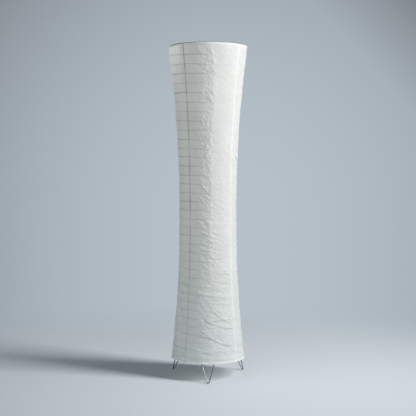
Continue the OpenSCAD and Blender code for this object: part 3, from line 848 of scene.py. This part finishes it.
def steps_between(low, high, step):
    count = max(1, round(abs(high - low) / step))
    return [low + (high - low) * i / count for i in range(count + 1)]


def finish_turned(piece, angle=35):
    bpy.context.view_layer.objects.active = piece
    piece.select_set(True)
    bpy.ops.object.shade_smooth_by_angle(angle=math.radians(angle))
    piece.select_set(False)


def bulb_cap(material):
    """The bulb's rolled screw cap, with a plain collar above the thread."""
    low, high = (v.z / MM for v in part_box("bulb_cap"))
    crest, wall, collar = 13.05, 0.4, 3.2
    outer = [(crest - 0.5, low)] + [(crest, z) for z in steps_between(low + 0.5, high, THREAD_STEP)]
    inner = [(crest - wall, z) for z in steps_between(high, low + 0.5, THREAD_STEP)]
    inner += [(crest - 0.5 - wall, low)]
    piece = lathe("bulb_screw_cap", outer + inner)
    cut_thread(piece, low + 0.2, high - collar, least_r=crest - wall - 0.6, depth=0.75,
               pitch=THREAD_PITCH / MM, taper=1.8)
    finish_turned(piece, 50)
    dress(piece, material, "bulb", "bulb_cap")


def screw_shell(material):
    """The holder's rolled brass shell, whose thread runs beside the cap's."""
    low, high = (v.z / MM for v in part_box("screw_shell"))
    inner_r, wall = 13.35, 0.35
    outer = [(inner_r + wall, z) for z in steps_between(low, high, THREAD_STEP)]
    inner = [(inner_r, z) for z in steps_between(high, low, THREAD_STEP)]
    piece = lathe("screw_shell_rolled", outer + inner)
    cut_thread(piece, low + 0.2, high - 0.2, least_r=inner_r - 0.5, depth=0.75,
               pitch=THREAD_PITCH / MM, taper=1.5)
    finish_turned(piece, 50)
    dress(piece, material, "lamp", "screw_shell")


def holder_sleeve(material):
    """The holder's sleeve: a shoulder, a coarse outer thread and a lip over the core."""
    low, high = (v.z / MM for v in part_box("holder_body"))
    shoulder_top, shoulder_r, crest, bore, lip_r = low + 4, 23.0, 19.75, 17.0, 14.95
    lip_low = high - 2
    profile = [(bore, low), (shoulder_r - 0.4, low), (shoulder_r, low + 0.4)]
    profile += [(shoulder_r, shoulder_top - 0.6), (shoulder_r - 0.6, shoulder_top)]
    profile += [(crest, z) for z in steps_between(shoulder_top, high - 0.5, 0.35)]
    profile += [(crest - 0.5, high), (lip_r, high), (lip_r, lip_low), (bore, lip_low)]
    piece = lathe("holder_sleeve", profile)
    cut_thread(piece, shoulder_top + 1.5, high - 0.3, least_r=crest - 0.05, depth=0.85,
               pitch=2.5, taper=1.2)
    finish_turned(piece)
    dress(piece, material, "lamp", "holder_body")


# ---- stage and light ----
FLOOR_TONE = (0.755, 0.803, 0.842, 1)
FLOOR_FADE = (0.25, 1.75)           # metres from the axis between which the floor fades into the backdrop
FILL = 0.105
FILL_TINT = (0.80, 0.93, 1.0)
WALL_FILL = 2.45
WALL_TINT = (1.0, 0.98, 0.93)
WALL_DIRECTION = (-0.75, -0.66, 0.12)
BACKDROP = (0.467, 0.529, 0.588, 1)
VIEW_SCALE = 4.4                    # brings the view's direction to about 1 at the picture's edges
# how strongly each shade darkens the backdrop, the level at which it stops, and its offset
SIDE_SHADE, SIDE_MOST, SIDE_OFFSET = 0.185, 1.2, -0.13
UP_SHADE, UP_MOST, UP_OFFSET = 0.17, 1.3, -0.23
BOTH_SHADE = 0.015
CORNER_SHADE, CORNER_MOST, CORNER_OFFSET = 1.9, 0.1, -0.27
CORNER_LEAN = 0.9                   # how much height counts beside sideways there
KEY_SIZE = (1.15, 3.8)
KEY_POWER = 205
KEY_TARGET = (0, 0, 0.5)
KEY_DISTANCE = 4.0
KEY_TURN = math.radians(-22)
KEY_RISE = math.radians(38.5)
KEY_TILT = math.radians(10)


def add_floor():
    """A matt pale floor, which the camera sees fade into the backdrop away from the lamp."""
    bpy.ops.mesh.primitive_circle_add(vertices=128, radius=9, fill_type="NGON", location=(0, 0, -0.0002))
    floor = bpy.context.object
    floor.name = "floor"
    material, tree, shader = new_material("floor_paint")
    shader.inputs["Base Color"].default_value = FLOOR_TONE
    shader.inputs["Roughness"].default_value = 0.75
    shader.inputs["Specular IOR Level"].default_value = 0.2
    away = add_node(tree, "ShaderNodeVectorMath", operation="LENGTH")
    tree.links.new(object_coordinates(tree), away.inputs[0])
    span = {"From Min": FLOOR_FADE[0], "From Max": FLOOR_FADE[1]}
    fade = add_node(tree, "ShaderNodeMapRange", span, interpolation_type="SMOOTHSTEP")
    tree.links.new(away.outputs["Value"], fade.inputs["Value"])
    path = add_node(tree, "ShaderNodeLightPath")
    clear = add_node(tree, "ShaderNodeBsdfTransparent")
    gone = math_node(tree, "MULTIPLY", fade.outputs[0], path.outputs["Is Camera Ray"])
    mix_shaders(tree, gone, shader.outputs[0], clear.outputs[0], tree.nodes["Material Output"])
    floor.data.materials.append(material)


def world_fill(tree, direction):
    """Soft light all round, and more from a pale wall at the front left."""
    wall = add_node(tree, "ShaderNodeVectorMath", operation="DOT_PRODUCT")
    wall.inputs[1].default_value = Vector(WALL_DIRECTION).normalized()
    tree.links.new(direction, wall.inputs[0])
    facing = math_node(tree, "POWER", math_node(tree, "MAXIMUM", wall.outputs["Value"], 0.0), 2.0)
    height = math_node(tree, "ABSOLUTE", separate(tree, direction)[2])
    level = math_node(tree, "SUBTRACT", 1.0, height)
    facing = math_node(tree, "MULTIPLY", facing, math_node(tree, "MULTIPLY", level, level))
    fill = add_node(tree, "ShaderNodeBackground")
    tree.links.new(mix_colour(tree, facing, FILL_TINT, WALL_TINT), fill.inputs["Color"])
    tree.links.new(math_node(tree, "MULTIPLY_ADD", facing, WALL_FILL, FILL), fill.inputs["Strength"])
    return fill.outputs[0]


def world_backdrop(tree, direction):
    """The backdrop as the camera sees it: darker upwards, to both sides and in the upper right corner."""
    x, _, z = separate(tree, direction)
    side = math_node(tree, "MULTIPLY_ADD", x, VIEW_SCALE, SIDE_OFFSET)
    side = math_node(tree, "MINIMUM", math_node(tree, "MULTIPLY", side, side), SIDE_MOST)
    up = math_node(tree, "MINIMUM", math_node(tree, "MULTIPLY_ADD", z, -VIEW_SCALE, UP_OFFSET), 0.0)
    up = math_node(tree, "MINIMUM", math_node(tree, "MULTIPLY", up, up), UP_MOST)
    both = math_node(tree, "POWER", math_node(tree, "ADD", side, up), 2.0)
    corner = math_node(tree, "MULTIPLY_ADD", z, CORNER_LEAN, x)
    corner = math_node(tree, "MAXIMUM", math_node(tree, "ADD", corner, CORNER_OFFSET), 0.0)
    corner = math_node(tree, "MINIMUM", corner, CORNER_MOST)
    shades = ((side, SIDE_SHADE), (up, UP_SHADE), (both, BOTH_SHADE), (corner, CORNER_SHADE))
    dim = 1.0
    for shade, share in shades:
        dim = math_node(tree, "MULTIPLY_ADD", shade, -share, dim)
    seen = add_node(tree, "ShaderNodeBackground", {"Color": BACKDROP})
    tree.links.new(dim, seen.inputs["Strength"])
    return seen.outputs[0]


def add_world():
    world = bpy.data.worlds.new("studio")
    bpy.context.scene.world = world
    world.use_nodes = True
    tree = world.node_tree
    tree.nodes.clear()
    direction = add_node(tree, "ShaderNodeTexCoord").outputs["Generated"]
    path = add_node(tree, "ShaderNodeLightPath")
    shown = math_node(tree, "MAXIMUM", path.outputs["Is Camera Ray"], path.outputs["Is Glossy Ray"])
    shown = math_node(tree, "MAXIMUM", shown, path.outputs["Is Transmission Ray"])
    mix_shaders(tree, shown, world_fill(tree, direction), world_backdrop(tree, direction),
                tree.nodes.new("ShaderNodeOutputWorld"))


def add_key_light():
    """A tall soft light at the right, tilted a little down towards the lamp."""
    data = bpy.data.lights.new("key", "AREA")
    data.shape = "RECTANGLE"
    data.size, data.size_y = KEY_SIZE
    data.energy = KEY_POWER
    key = bpy.data.objects.new("key", data)
    bpy.context.scene.collection.objects.link(key)
    across, forward = math.cos(KEY_TURN), math.sin(KEY_TURN)
    towards = Vector((across * math.cos(KEY_RISE), forward * math.cos(KEY_RISE), math.sin(KEY_RISE)))
    key.location = Vector(KEY_TARGET) + towards * KEY_DISTANCE
    facing = Vector((across, forward, math.tan(KEY_TILT)))
    key.rotation_euler = facing.to_track_quat("Z", "Y").to_euler()


add_camera()
bpy.context.scene.view_settings.view_transform = "Standard"
add_world()
add_key_light()
add_floor()

spiral_wire()
paper_sleeve()
finish_frame()
plastic, brass = finish_holder()
bulb_metal = finish_bulb()
bulb_cap(bulb_metal)
screw_shell(brass)
holder_sleeve(plastic)
